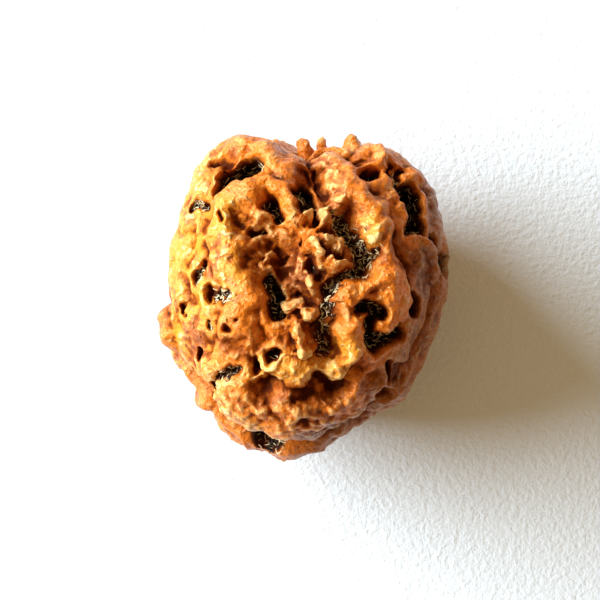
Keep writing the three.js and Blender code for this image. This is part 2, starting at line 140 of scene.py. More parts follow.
outline_stops = sorted([math.degrees(math.atan2(up, right)), math.hypot(right, up)] for right, up in OUTLINE)


def from_sketch(right, up):
    """A sketch point as the bead's own x and y."""
    c, s = math.cos(SKETCH_TURN), math.sin(SKETCH_TURN)
    return right * c - up * s, right * s + up * c


def sketch_angle(directions):
    return np.degrees(np.arctan2(directions[:, 1], directions[:, 0]) - SKETCH_TURN)


def body_radius(directions):
    """Distance from the middle to the plain body, along unit directions."""
    flat = np.hypot(directions[:, 0], directions[:, 1]) / round_trip(outline_stops, sketch_angle(directions))
    high = np.abs(directions[:, 2]) / np.where(directions[:, 2] > 0, FRONT_RISE, BACK_DROP)
    return (flat**FULLNESS + high**FULLNESS) ** (-1 / FULLNESS)


def on_upper_face(right, up):
    """The point of the upper face that lies over a sketch point."""
    reach = float(round_trip(outline_stops, np.array([math.degrees(math.atan2(up, right))]))[0])
    share = min(math.hypot(right, up) / reach, 0.995)
    return np.array([*from_sketch(right, up), FRONT_RISE * (1 - share**FULLNESS) ** (1 / FULLNESS)])


print("outline of", len(outline_stops), "points")

# %% [markdown]
# ## The sketched relief
#
# The upper face is the one that is seen, so its ridges, hollows and pits are strokes with a width and a
# height, as a carver would mark them. Each stroke is laid on the body and works by distance from its
# line. A carver's alternative would be sculpting by hand, but strokes can be read, changed and repeated
# exactly.

# %% The strokes of the upper face
RIDGE = "ridge"
HOLLOW = "hollow"
PIT = "pit"
# Kind, half-width, height or depth, then the sketch points that the stroke runs through
MARKS = [
  # swellings of the upper face
  [RIDGE, 1.7, 0.45, [-5.9, 10.2], [-6.8, 8.7], [-7.1, 6.9], [-7.9, 4.8], [-8.3, 2.6], [-8.4, 0.5]],
  [RIDGE, 1.4, 0.7, [-4.1, 7.1], [-4.6, 6.3], [-5.0, 4.4], [-5.1, 2.5], [-4.1, 0.9], [-3.6, -0.4],
    [-4.2, -1.8]],
  [RIDGE, 1.4, 0.5, [-4.5, 10.7], [-2.6, 10.4], [-0.6, 9.2], [0.0, 8.4]],
  [RIDGE, 0.8, 0.55, [-3.9, 7.4], [-2.6, 7.5], [-1.0, 7.4], [-0.2, 6.4]],
  [RIDGE, 0.8, 0.4, [-4.1, 4.1], [-2.5, 3.7], [-0.9, 4.1]],
  [RIDGE, 0.45, 0.4, [-2.9, 3.2], [-2.0, 2.8], [-2.2, 2.2], [-1.5, 1.4]],
  [RIDGE, 1.4, 0.6, [2.4, 9.2], [3.1, 7.9], [4.2, 6.8], [4.9, 6.0]],
  [RIDGE, 0.9, 0.6, [4.4, 6.2], [5.0, 5.8]],
  [RIDGE, 1.3, 0.75, [5.4, 4.4], [5.6, 3.0], [6.1, 1.6], [6.5, 0.2], [6.6, -1.4]],
  [RIDGE, 0.9, 0.75, [6.1, 1.4], [4.8, 1.0], [3.6, 0.5], [2.7, -0.2], [2.6, -1.1]],
  [RIDGE, 1.1, 0.7, [3.4, -1.9], [3.4, -3.4], [2.7, -4.6]],
  [RIDGE, 0.9, 0.5, [2.7, -4.6], [0.9, -4.8], [-0.6, -5.5], [-1.4, -4.9]],
  [RIDGE, 1.1, 0.15, [7.1, 6.5], [7.7, 4.5], [8.2, 2.6], [8.2, 0.4], [7.7, -2.4], [6.9, -4.2]],
  [RIDGE, 1.0, 0.3, [4.8, 10.4], [7.2, 9.7], [8.6, 8.5], [9.3, 7.2], [9.8, 5.7], [10.0, 4.1]],
  [RIDGE, 0.6, 0.5, [8.1, 8.2]],
  [RIDGE, 0.45, 0.45, [5.5, 10.2], [5.9, 9.4], [6.1, 8.7]],
  [RIDGE, 0.5, 0.45, [6.9, 6.6], [7.4, 5.6], [8.0, 4.4], [9.1, 3.1], [9.6, 1.2]],
  [RIDGE, 2.3, 0.55, [-4.2, -7.2], [-2.0, -8.2], [0.8, -7.9], [3.3, -7.2]],
  [RIDGE, 1.1, 0.35, [-6.2, -5.3], [-4.9, -3.8], [-3.6, -2.8]],
  [RIDGE, 1.0, 0.5, [-9.3, -1.6], [-9.1, -3.0]],
  [RIDGE, 0.9, 0.5, [6.9, -5.3], [7.3, -6.1]],
  [RIDGE, 0.6, 0.6, [1.5, 10.1], [3.5, 10.1]],
  # knobs in the middle
  [RIDGE, 0.68, 0.95, [1.1, 3.3]],
  [RIDGE, 0.42, 0.8, [2.0, 4.0], [2.7, 3.7], [2.9, 3.2]],
  [RIDGE, 0.42, 0.95, [2.0, 2.6], [2.5, 2.3], [3.0, 1.9]],
  [RIDGE, 0.6, 0.85, [-0.9, -0.5], [0.2, -0.8], [1.0, -1.1]],
  [RIDGE, 0.7, 0.65, [0.1, -2.6], [0.5, -3.4]],
  [RIDGE, 0.5, 0.75, [0.5, 5.4]],
  [RIDGE, 0.5, 0.8, [1.7, 5.8], [1.9, 5.0]],
  [RIDGE, 0.5, 0.5, [0.9, 0.8]],
  # broad hollows
  [HOLLOW, 1.5, 1.3, [2.9, 5.1], [3.4, 4.1], [4.4, 2.9], [4.0, 1.8], [2.2, 0.6], [2.0, -0.9], [1.7, -2.4],
    [1.8, -3.5]],
  [HOLLOW, 2.3, 1.7, [-1.4, 3.4], [-1.0, 1.6], [-0.5, 0.2]],
  [HOLLOW, 1.0, 0.4, [1.5, 8.4], [1.6, 7.0], [1.2, 5.4]],
  [HOLLOW, 0.45, 0.5, [-0.9, 10.8], [0.6, 10.2]],
  [HOLLOW, 0.9, 0.6, [0.7, 8.0], [0.4, 7.4], [0.4, 6.8]],
  [HOLLOW, 1.3, 1.0, [0.9, -6.4], [2.3, -6.0]],
  [HOLLOW, 0.9, 0.6, [-2.3, -5.7], [-2.1, -6.8]],
  [HOLLOW, 1.2, 0.6, [-3.8, 4.9], [-2.9, 4.4]],
  [HOLLOW, 0.6, 0.3, [4.4, 9.5]],
  [HOLLOW, 0.7, 0.6, [6.6, 9.2], [6.3, 8.7]],
  [HOLLOW, 1.2, 0.7, [-2.4, -10.0]],
  [HOLLOW, 1.3, 0.7, [-5.1, 9.6], [-3.6, 9.4]],
  # holes with steep walls
  [PIT, 0.95, 2.5, [-3.3, 9.0], [-4.4, 8.8]],
  [PIT, 0.5, 1.9, [-4.8, 8.4], [-5.3, 7.0]],
  [PIT, 0.28, 0.55, [-7.0, 6.1], [-6.6, 6.3]],
  [PIT, 0.28, 0.45, [-5.1, 5.0]],
  [PIT, 0.4, 1.2, [-2.2, 6.5], [-1.4, 5.6]],
  [PIT, 0.55, 1.4, [0.1, 7.1], [0.4, 6.4]],
  [PIT, 0.35, 1.2, [-3.2, 4.4], [-2.4, 4.5]],
  [PIT, 0.28, 0.35, [-2.5, 2.3]],
  [PIT, 0.28, 0.55, [-6.7, 2.1], [-6.9, 1.0]],
  [PIT, 0.3, 0.75, [-5.9, 0.3], [-6.1, -0.4]],
  [PIT, 0.42, 0.8, [-5.5, 0.0], [-4.6, 0.15]],
  [PIT, 0.16, 0.45, [-8.0, -0.5], [-7.8, -1.4]],
  [PIT, 0.2, 0.4, [-6.3, -1.8], [-6.0, -2.2]],
  [PIT, 0.28, 0.6, [-4.7, -1.9]],
  [PIT, 0.16, 0.5, [-3.8, -1.5]],
  [PIT, 0.14, 0.25, [2.0, 3.2], [2.4, 2.9], [3.0, 2.7]],
  [PIT, 0.12, 0.25, [1.6, 4.3], [1.85, 3.6], [1.9, 3.1]],
  [PIT, 0.14, 0.35, [0.3, 3.9], [0.3, 2.8], [0.8, 2.5]],
  [PIT, 0.15, 0.4, [1.1, 5.6], [1.2, 5.0]],
  [PIT, 0.12, 0.25, [1.2, 8.8], [1.3, 7.2]],
  [PIT, 0.12, 0.4, [-0.9, 0.0], [0.5, -0.2], [1.3, -0.7]],
  [PIT, 0.12, 0.4, [-0.8, -1.4], [0.3, -1.6], [1.1, -1.8]],
  [PIT, 0.2, 0.45, [-6.9, -3.5], [-6.7, -4.1]],
  [PIT, 0.16, 0.5, [-7.7, -5.0], [-7.1, -5.8]],
  [PIT, 0.55, 1.9, [-1.9, 0.8], [-1.7, 0.0]],
  [PIT, 0.45, 1.6, [-1.8, -0.2], [-1.2, -1.1]],
  [PIT, 0.35, 0.65, [-5.6, -6.0], [-4.4, -5.0]],
  [PIT, 0.38, 0.9, [-3.0, -4.7]],
  [PIT, 0.48, 1.1, [-1.7, -3.9]],
  [PIT, 0.48, 1.4, [4.4, -0.7], [5.4, -1.0]],
  [PIT, 0.38, 1.3, [5.0, -1.5], [5.1, -2.7]],
  [PIT, 0.55, 1.6, [4.9, -3.2], [6.7, -2.6]],
  [PIT, 0.4, 1.0, [7.9, -0.1], [8.1, -0.8]],
  [PIT, 0.42, 1.0, [4.8, 8.6], [5.5, 8.4]],
  [PIT, 0.3, 0.7, [6.4, 8.4], [6.9, 8.35], [7.3, 8.8]],
  [PIT, 0.3, 1.0, [7.1, 8.4], [6.9, 7.6], [7.3, 7.1]],
  [PIT, 0.9, 2.3, [7.8, 7.0], [8.0, 5.9], [8.1, 5.0]],
  [PIT, 0.35, 1.0, [9.2, 4.1], [9.5, 3.7]],
  [PIT, 0.5, 0.45, [2.8, 5.4], [3.4, 4.4], [4.7, 3.0], [4.2, 1.9], [2.2, 0.6]],
  [PIT, 0.42, 1.0, [0.8, 2.1], [1.5, 1.6]],
  [PIT, 0.5, 0.4, [1.0, -5.4], [1.9, -5.9]],
  [PIT, 0.7, 0.45, [7.0, -5.1], [7.2, -5.6]],
  [PIT, 0.32, 0.75, [6.4, -4.9], [6.5, -5.8]],
  [PIT, 0.5, 0.9, [6.1, -6.6], [6.2, -7.3]],
]

# %% Lay the strokes on the body
def stroke_distance(points, stroke):
    """Distance from each point to a stroke, which is one point or a line through several."""
    if len(stroke) == 1:
        return np.linalg.norm(points - stroke[0], axis=1)
    best = np.full(len(points), np.inf)
    for start, end in zip(stroke, stroke[1:]):
        run = end - start
        share = np.clip((points - start) @ run / (run @ run), 0, 1)
        best = np.minimum(best, np.linalg.norm(points - (start + share[:, None] * run), axis=1))
    return best


PIT_WALL = 0.28  # half the width over which a pit's wall falls
RIM_HEIGHT = 0.22  # the skin swells this much round a pit
RIM_WIDTH = 0.85
RIDGE_GAIN = 1.35
RIDGE_FULLNESS = 2.4  # 2 is a rounded ridge, more has a flatter top and steeper sides
BLEND = 4  # how sharply marks of one kind give way to the largest
WANDER = 0.2  # how far the strokes wander from their drawn lines
FINE_WANDER = 0.09


def wandering(points):
    """The points nudged to and fro by a few waves, so that no stroke is quite straight or even."""
    x, y, z = points.T
    wide = [np.sin(2.1 * y + 1.3 * z + 0.7), np.sin(2.3 * x - 1.2 * z + 1.9),
            np.sin(1.9 * x + 1.7 * y + 3.1)]
    fine = [np.sin(5.3 * z - 3.7 * y + 2.1), np.sin(4.9 * x + 4.1 * z + 0.3),
            np.sin(5.7 * y - 3.3 * x + 1.2)]
    return points + WANDER * np.stack(wide, axis=1) + FINE_WANDER * np.stack(fine, axis=1)


def sketched_relief(points):
    """The height of the ridges and the depth of the hollows and the pits, at points of the plain body."""
    sums = {kind: np.zeros(len(points)) for kind in (RIDGE, HOLLOW, PIT)}
    moved = wandering(points)
    for kind, width, size, *stroke in MARKS:
        away = stroke_distance(moved, [on_upper_face(*point) for point in stroke])
        if kind == RIDGE:
            share = RIDGE_GAIN * np.maximum(1 - (away / (width * 1.1)) ** RIDGE_FULLNESS, 0)
        elif kind == HOLLOW:
            share = 1 - smooth(away, 0, width * 1.25)
        else:
            wall = min(PIT_WALL, width * 0.75)
            share = 1 - smooth(away, width - wall, width + wall)
            rim = np.maximum(1 - ((away - width - 0.4 * RIM_WIDTH) / (0.6 * RIM_WIDTH)) ** 2, 0)
            sums[RIDGE] += (RIM_HEIGHT * min(width / 0.5, 1) * rim) ** BLEND
        sums[kind] += (size * share) ** BLEND
    return {kind: total ** (1 / BLEND) for kind, total in sums.items()}


# %% [markdown]
# ## Crumpled cells on the sides and the lower face
#
# Away from the sketched face the stone is crumpled all over in the same manner. Seeds are spread evenly
# by the golden angle and nudged at random. The places where two seeds are equally far stand up as walls,
# and about half of the cells sink into a deep pit. The random numbers come from the same small generator
# as the CAD model's, so that both hold the same cells.

# %% Seeded random numbers and cells
CELL_COUNT = 130
CELL_SEED = 2024
WALL_HEIGHT = 0.95
WALL_WIDTH = 1.0
CELL_WALL = 0.35  # half the width over which a cell's pit falls
CELL_SINK = 0.65  # a cell's floor lies this far inside the outline


def random_source(seed):
    """A function that draws the next of a fixed row of numbers from 0 to 1."""
    state = seed
    word = 0xFFFFFFFF

    def draw():
        nonlocal state
        state = (state + 0x6D2B79F5) & word
        t = (state ^ (state >> 15)) * (1 | state) & word
        t = (t + ((t ^ (t >> 7)) * (61 | t) & word) ^ t) & word
        return (t ^ (t >> 14)) / (word + 1)

    return draw


def make_cells():
    draw = random_source(CELL_SEED)
    golden = math.pi * (3 - math.sqrt(5))
    cells = []
    for i in range(CELL_COUNT):
        z = 1 - (2 * (i + 0.5)) / CELL_COUNT
        turn = golden * i + (draw() - 0.5) * 0.9
        flat = math.sqrt(1 - z * z)
        rise = z + (draw() - 0.5) * 0.12
        direction = np.array([flat * math.cos(turn), flat * math.sin(turn), rise])
        direction /= np.linalg.norm(direction)
        along = np.cross([draw() - 0.5, draw() - 0.5, draw() - 0.5], direction)
        deep = draw() < 0.5
        cell = {"centre": direction * body_radius(direction[None])[0],
                "along": along / np.linalg.norm(along)}
        cell["stretch"] = 0.35 + 0.4 * draw()
        cell["width"] = 0.5 + 0.45 * draw()
        cell["depth"] = 0.9 + 0.8 * draw() if deep else 0.1 + 0.3 * draw()
        cells.append(cell)
    return cells


cells = make_cells()
print(len(cells), "cells, of which", sum(cell["depth"] > 0.5 for cell in cells), "are deep")


# %% Height of the cells' walls and depth of their pits
def cell_relief(points):
    """The walls' height and the pits' depth, at points of the plain body."""
    x, y, z = points.T
    bent = [x + 0.55 * np.sin(0.9 * y + 1.3), y + 0.55 * np.sin(0.8 * z + 0.4),
            z + 0.55 * np.sin(1.1 * x + 2.1)]
    warped = np.stack(bent, axis=1)
    first = np.full(len(points), np.inf)
    second = np.full(len(points), np.inf)
    width = np.zeros(len(points))
    depth = np.zeros(len(points))
    for cell in cells:
        offset = warped - cell["centre"]
        along = offset @ cell["along"]
        away = np.sqrt(np.maximum((offset**2).sum(axis=1) - cell["stretch"] * along**2, 0))
        nearer = away < first
        second = np.where(nearer, first, np.minimum(second, away))
        width = np.where(nearer, cell["width"], width)
        depth = np.where(nearer, cell["depth"], depth)
        first = np.where(nearer, away, first)
    wall = WALL_HEIGHT * np.exp(-(((second - first) / WALL_WIDTH) ** 2))
    return wall, depth * (1 - smooth(first, width - CELL_WALL, width + CELL_WALL))


# %% [markdown]
# ## The groove between the two faces
#
# The groove is what makes this bead a two mukhi one. It runs right round, close to the edge as seen from
# above, and the upper face is drawn in a little over it, so that the lower face shows as a rim below and
# at the left.


# %% Put the whole surface together
GROOVE_DEPTH = 0.85
GROOVE_WIDTH = 0.58
LIP_REACH = 2.2  # how far up the upper face the lip is felt
LIP_BELOW = 0.35
LIP_ABOVE = 0.5
SKETCHED_SHARE = 0.2  # what is left of the cells where the relief is sketched by hand
GROOVE_CALM = 0.75  # how much of the cells is taken away in the groove
CALM_REACH = 1.6
REST_PLAIN = 2.3  # radius of the spot that has no cells
REST_EDGE = 3.8
REST_RING_END = 8.0
REST_RING_DEPTH = 0.5
UPRIGHT_CUT = 2.5  # how much the pits and hollows are cut straight down, away from the groove
CUT_ON_SLOPE = 1.7  # a cut on a slope is at most this many times deeper


def surface(directions):
    """The surface's points along unit directions, and how deep in a pit, a hollow or the groove each is."""
    plain = body_radius(directions)
    points = directions * plain[:, None]
    angle = sketch_angle(directions)
    above = points[:, 2] - round_trip(GROOVE_PATH, angle)
    groove = GROOVE_DEPTH * np.exp(-((above / GROOVE_WIDTH) ** 2))
    drawn_in = smooth(above, -LIP_BELOW, LIP_ABOVE) * np.exp(-((np.maximum(above, 0) / LIP_REACH) ** 2))
    lip = round_trip(LIP_PATH, angle) * drawn_in
    sketched = smooth(above, -0.6, 0.8)
    calm = 1 - GROOVE_CALM * np.exp(-((above / CALM_REACH) ** 2))
    rest = np.where(points[:, 2] < 0, np.hypot(points[:, 0], points[:, 1]), np.inf)
    clear = smooth(rest, REST_PLAIN, REST_EDGE)
    cell_share = calm * clear * (SKETCHED_SHARE + (1 - SKETCHED_SHARE) * (1 - sketched))
    ring = REST_RING_DEPTH * clear * (1 - smooth(rest, REST_EDGE, REST_RING_END))
    marks = sketched_relief(points)
    wall, pit = cell_relief(points)
    outward = (wall - CELL_SINK - pit) * cell_share - ring - groove - lip
    upright = directions + np.outer(0.3 + UPRIGHT_CUT * smooth(above, 1.0, 4.0), [0, 0, 1])
    upright /= np.linalg.norm(upright, axis=1)[:, None]
    steeper = np.clip(1 / np.maximum(directions[:, 2], 0.01), 1, CUT_ON_SLOPE)
    cut = steeper * (marks[HOLLOW] + marks[PIT])
    raised = points + directions * (outward + marks[RIDGE])[:, None] - upright * cut[:, None]
    depths = {"pit": marks[PIT] + pit * cell_share, "hollow": marks[HOLLOW], "groove": groove}
    return raised, depths


# %% [markdown]
# ## The stone as a mesh
#
# A sphere made from a cube has even squares and no poles, so it takes relief the same way all over. Its
# directions are nudged upwards to spend more of the faces on the side that is seen. The string hole and
# the spines then come from Booleans, because a surface that is one radius for each direction can't hold
# them.

# %% An even sphere from a cube
CUBE_STEPS = 122
UPWARD_SHARE = 0.22  # more puts more of the faces on the upper side


def cube_sphere(count):
    """Unit directions and four-sided faces, with count by count faces on each side of the cube."""
    steps = np.arange(count + 1)
    across, along = (grid.ravel() for grid in np.meshgrid(steps, steps, indexing="ij"))
    start = (np.arange(count)[:, None] * (count + 1) + np.arange(count)).ravel()
    square = np.stack([start, start + count + 1, start + count + 2, start + 1], axis=1)
    corners, faces = [], []
    for axis in range(3):
        for end in (0, count):
            side = np.empty((len(across), 3), int)
            side[:, axis] = end
            side[:, (axis + 1) % 3] = across
            side[:, (axis + 2) % 3] = along
            faces.append((square if end else square[:, ::-1]) + len(corners) * len(across))
            corners.append(side)
    places, merged = np.unique(np.concatenate(corners), axis=0, return_inverse=True)
    directions = np.tan(math.pi / 4 * (2 * places / count - 1))
    return directions / np.linalg.norm(directions, axis=1)[:, None], merged.ravel()[np.concatenate(faces)]


def to_object(name, points, faces):
    """A mesh object from points in millimetres above the mid-plane."""
    mesh = bpy.data.meshes.new(name)
    raised = (np.asarray(points) + [0, 0, REST_HEIGHT]) * MM
    mesh.from_pydata(raised.tolist(), [], [list(map(int, face)) for face in faces])
    made = bpy.data.objects.new(name, mesh)
    bpy.context.scene.collection.objects.link(made)
    return made


directions, faces = cube_sphere(CUBE_STEPS)
directions = directions + [0, 0, UPWARD_SHARE]
directions /= np.linalg.norm(directions, axis=1)[:, None]
skin_points, depths = surface(directions)
skin_points[:, 2] = np.maximum(skin_points[:, 2], -REST_HEIGHT)
stone = to_object("rudraksha_stone", skin_points, faces)
print("stone of", len(faces), "squares")

# %% The string hole and the spines
HOLE_RADIUS = 0.85
MOUTH_RADIUS = 1.05
MOUTH_DEPTH = 1.1
MOUTH_REACH = 10.2
HOLE_END = 14  # well past both mouths
HOLE_ASIDE = -0.3
HOLE_RISE = 1.7
HOLE_TILT = math.radians(-4)

# Tip's right and up in the sketch, height above the mid-plane, radius at the tip and at the root, and
# lean in degrees
SPINES = [
  [0.3, 11.4, 0.2, 0.36, 1.0, -14],
  [1.8, 11.4, -0.4, 0.3, 0.62, 2],
  [3.7, 11.7, 0.9, 0.3, 1.7, -7],
  [3.3, 10.7, -1.0, 0.3, 0.7, 8],
  [0.7, 10.6, -1.9, 0.3, 0.7, -8],
]
SPINE_LENGTH = 3.2
SPINE_WANDER = 0.4


def turned(rings, sides, wobble=0.0, seed=1):
    """Points and faces of a closed round body along Y, from [radius, y] rings, made uneven by `wobble`."""
    draw = random_source(seed)
    angles = np.arange(sides) * 2 * math.pi / sides
    points = []
    for r, y in rings:
        uneven = np.array([1 + wobble * (draw() - 0.5) for _ in range(sides)])
        points += [[r * u * math.cos(a), y, r * u * math.sin(a)] for a, u in zip(angles, uneven)]
    faces = [list(range(sides))]
    for ring in range(len(rings) - 1):
        first = ring * sides
        for i in range(sides):
            after = (i + 1) % sides
            faces.append([first + i, first + sides + i, first + sides + after, first + after])
    faces.append(list(range(len(points) - 1, len(points) - sides - 1, -1)))
    return np.array(points), faces


def rotation(axis, angle):
    """A 3 by 3 turn about X (0), Y (1) or Z (2)."""
    c, s = math.cos(angle), math.sin(angle)
    turn = np.eye(3)
    i, j = (axis + 1) % 3, (axis + 2) % 3
    turn[i, i], turn[i, j], turn[j, i], turn[j, j] = c, -s, s, c
    return turn


def combine(target, other, operation):
    """Joins `other` to `target`, or cuts it away, and removes it."""
    tool = target.modifiers.new("combine", "BOOLEAN")
    tool.object = other
    tool.operation = operation
    tool.solver = "MANIFOLD"
    bake(target)
    bpy.data.objects.remove(other)


def bake(target):
    """Turns what the modifiers make of an object into its plain mesh."""
    bpy.context.view_layer.update()
    evaluated = target.evaluated_get(bpy.context.evaluated_depsgraph_get())
    target_mesh = bpy.data.meshes.new_from_object(evaluated)
    target.modifiers.clear()
    target.data = target_mesh


flare = (MOUTH_RADIUS - HOLE_RADIUS) / MOUTH_DEPTH
hole_rings = []
for y in np.arange(-HOLE_END, HOLE_END + 0.1, 0.5):
    beyond = max(abs(y) - MOUTH_REACH + MOUTH_DEPTH, 0)
    hole_rings.append([HOLE_RADIUS + flare * beyond, y])
hole_points, hole_faces = turned(hole_rings, sides=28, wobble=0.06, seed=7)
hole_points = wandering(hole_points @ rotation(0, HOLE_TILT).T + [HOLE_ASIDE, 0, HOLE_RISE])
combine(stone, to_object("string_hole", hole_points, hole_faces), "DIFFERENCE")
print("after the hole:", len(stone.data.polygons), "faces")

# %% Blunt spines round the stem end
for number, (right, up, z, tip, root, lean) in enumerate(SPINES):
    rings = []
    for share in np.linspace(0, 1, 15):
        taper = tip + (root - tip) * share
        rounded = math.sqrt(min(share / 0.08, 1))
        rings.append([max(taper * rounded, 0.06), -SPINE_LENGTH * share])
    spine_points, spine_faces = turned(rings[::-1], sides=16, wobble=0.22, seed=20 + number)
    spine_points = spine_points @ rotation(2, SKETCH_TURN - math.radians(lean)).T
    spine_points += [*from_sketch(right, up), z]
    spine_points += SPINE_WANDER * (wandering(spine_points) - spine_points)
    combine(stone, to_object("spine", spine_points, spine_faces), "UNION")
print("after the spines:", len(stone.data.polygons), "faces")

# %% [markdown]
# ## The grain of the skin
#
# Between the big forms the real skin is covered in soft grains about half a millimetre across, with
# longer wrinkles and thin folds among them. They repeat all over by one rule, so Geometry Nodes make
# them: a tree pushes each point along its normal by three patterns of real size, as far as the number
# called rough lets it. The printed average tells if it swells the stone.

# %% Grains and wrinkles with Geometry Nodes
def new_geometry_tree(name, inputs):
    """A geometry node tree with a geometry in and out, and one named number for each input."""
    tree = bpy.data.node_groups.new(name, "GeometryNodeTree")
    tree.interface.new_socket("Geometry", in_out="INPUT", socket_type="NodeSocketGeometry")
    for label in inputs:
        tree.interface.new_socket(label, in_out="INPUT", socket_type="NodeSocketFloat")
    tree.interface.new_socket("Geometry", in_out="OUTPUT", socket_type="NodeSocketGeometry")
    return tree, add(tree, "NodeGroupInput").outputs


def run_tree(target, tree, inputs):
    """Runs a tree on an object with these inputs, and leaves the result as the object's plain mesh."""
    modifier = target.modifiers.new(tree.name, "NODES")
    modifier.node_group = tree
    for item in tree.interface.items_tree:
        if item.in_out == "INPUT" and item.name in inputs:
            modifier[item.identifier] = inputs[item.name]
    bake(target)


SKIN_INPUTS = {
    "Grain size": 0.5 * MM,
    "Grain height": 0.22 * MM,
    "Wrinkle size": 1.2 * MM,
    "Wrinkle height": 0.62 * MM,
    "Fold size": 1.0 * MM,
    "Fold height": 0.42 * MM,
}
GRAIN_MEAN = 0.45
WRINKLE_MEAN = 0.5
FOLD_MEAN = 0.09
skin, given = new_geometry_tree("stone_skin", SKIN_INPUTS)
place = add(skin, "GeometryNodeInputPosition").outputs[0]
normal = add(skin, "GeometryNodeInputNormal").outputs[0]


def per_metre(size):
    return maths(skin, "DIVIDE", 1.0, size)


where = {"Vector": place}
grain = add(skin, "ShaderNodeTexVoronoi", {**where, "Scale": per_metre(given["Grain size"])},
            feature="SMOOTH_F1").outputs["Distance"]
wrinkle = add(skin, "ShaderNodeTexNoise", {**where, "Scale": per_metre(given["Wrinkle size"]), "Detail": 3.0,
                                           "Roughness": 0.55, "Distortion": 0.6}).outputs[0]
fold = add(skin, "ShaderNodeTexNoise", {**where, "Scale": per_metre(given["Fold size"]), "Detail": 2.0,
                                        "Distortion": 0.7}, noise_type="RIDGED_MULTIFRACTAL").outputs[0]


def pushed(pattern, middle, height_name):
    """A pattern as a height above and below its middle value."""
    return maths(skin, "MULTIPLY", maths(skin, "SUBTRACT", pattern, middle), given[height_name])


grain_in = pushed(grain, GRAIN_MEAN, "Grain height")
wrinkle_out = pushed(wrinkle, WRINKLE_MEAN, "Wrinkle height")
fold_out = pushed(fold, FOLD_MEAN, "Fold height")
height = maths(skin, "SUBTRACT", maths(skin, "ADD", wrinkle_out, fold_out), grain_in)
rough_here = add(skin, "GeometryNodeInputNamedAttribute", {"Name": "rough"}, data_type="FLOAT").outputs[0]
kept = maths(skin, "MULTIPLY", height, rough_here)
push = add(skin, "ShaderNodeVectorMath", {0: normal, "Scale": kept}, operation="SCALE").outputs[0]
moved = add(skin, "GeometryNodeSetPosition", {"Geometry": given["Geometry"], "Offset": push}).outputs[0]
add(skin, "NodeGroupOutput", {"Geometry": moved})


def mesh_points(target):
    """An object's points as an array, in millimetres from the middle of the stone."""
    flat = np.empty(len(target.data.vertices) * 3)
    target.data.vertices.foreach_get("co", flat)
    return flat.reshape(-1, 3) / MM - [0, 0, REST_HEIGHT]


def set_attribute(target, name, values):
    """Stores one number for each point under a name that materials and Geometry Nodes can read."""
    layer = target.data.attributes.get(name) or target.data.attributes.new(name, "FLOAT", "POINT")
    layer.data.foreach_set("value", np.asarray(values, np.float32))


def mesh_normals(target):
    flat = np.empty(len(target.data.vertices) * 3)
    target.data.vertex_normals.foreach_get("vector", flat)
    return flat.reshape(-1, 3)


def nearest(old_points, new_points):
    """For each new point, which old point is nearest and how far off it is."""
    tree = KDTree(len(old_points))
    for number, point in enumerate(old_points):
        tree.insert(point, number)
    tree.balance()
    found = [tree.find(point)[1:] for point in new_points]
    return np.array([pair[0] for pair in found]), np.array([pair[1] for pair in found])


points = mesh_points(stone)
match, gap = nearest(skin_points, points)
SAME_POINT = 0.05  # points of the string hole and the spines are farther from the old skin
on_skin = gap < SAME_POINT
on_plain_body = directions * body_radius(directions)[:, None]


def share_near(strokes):
    """1 on drawn strokes of the upper face and 0 away from them, each with its own half-width."""
    share = np.zeros(len(points))
    for width, *stroke in strokes:
        away = stroke_distance(on_plain_body, [on_upper_face(*point) for point in stroke])[match]
        share = np.maximum(share, 1 - smooth(away, 0.4 * width, 1.3 * width))
    return share * on_skin


# Half-width, then sketch points of a stroke, for each place that handling has not worn smooth
GRAINY = [
    (2.2, [-5.4, -6.4], [-3.2, -8.2], [0.0, -8.8], [3.0, -8.0]),
    (1.8, [-2.0, 4.6], [-0.8, 2.4], [-0.2, -0.2], [0.2, -2.8]),
    (0.9, [2.2, 9.4], [2.5, 6.8]),
    (1.2, [-2.6, -4.6], [0.5, -4.6], [2.8, -5.0]),
    (1.3, [0.6, 5.4], [1.8, 5.2], [1.8, 3.2], [2.2, 2.4]),
]
HANDLED_SHARE = 0.4  # how rough the stone is where handling has polished it
LOWER_SHARE = 0.6  # how far the lower face is on the way from handled to rough
GROOVE_SHARE = 0.6  # how much of the roughness the groove takes away
off_table = smooth(points[:, 2], -REST_HEIGHT + 0.02, -REST_HEIGHT + 0.5)
unhandled = np.maximum(share_near(GRAINY), LOWER_SHARE * (points[:, 2] < 0))
rough = HANDLED_SHARE + (1 - HANDLED_SHARE) * unhandled
rough *= 1 - GROOVE_SHARE * np.minimum(depths["groove"][match] / GROOVE_DEPTH, 1)
set_attribute(stone, "rough", rough * off_table)
before, facing = points, mesh_normals(stone)
run_tree(stone, skin, SKIN_INPUTS)
push_mm = ((mesh_points(stone) - before) * facing).sum(axis=1)
print("skin pushed by", push_mm.mean().round(3), "mm on average, from", push_mm.min().round(3), "to",
      push_mm.max().round(3), "on", len(push_mm), "points")

# %% [markdown]
# ## What the finish needs to know
#
# Oil and handling polish the ridges, and the hollows hold old pulp. The material also paints shade into the
# pits, the hollows and the string hole, and paints lighter colour and highlights on what stands out. It
# reads that from five numbers for each point: how deep it lies in a pit, in a hollow and in the string hole,
# and how far it stands out of its neighbourhood, near and wide. The last two compare the mesh with a
# smoothed copy.

# %% Depth and height as attributes
NEAR_ROUNDS = 8  # rounds of smoothing
WIDE_ROUNDS = 90


def smoothed(positions, pairs, rounds):
    """Positions after each point has moved to the middle of its neighbours this many times."""
    count = len(positions)
    ends = np.concatenate([pairs, pairs[:, ::-1]])
    shares = np.bincount(ends[:, 0], minlength=count)[:, None]
    for _ in range(rounds):
        sums = [np.bincount(ends[:, 0], weights=positions[ends[:, 1], axis], minlength=count)
                for axis in range(3)]
        positions = np.stack(sums, axis=1) / shares
    return positions


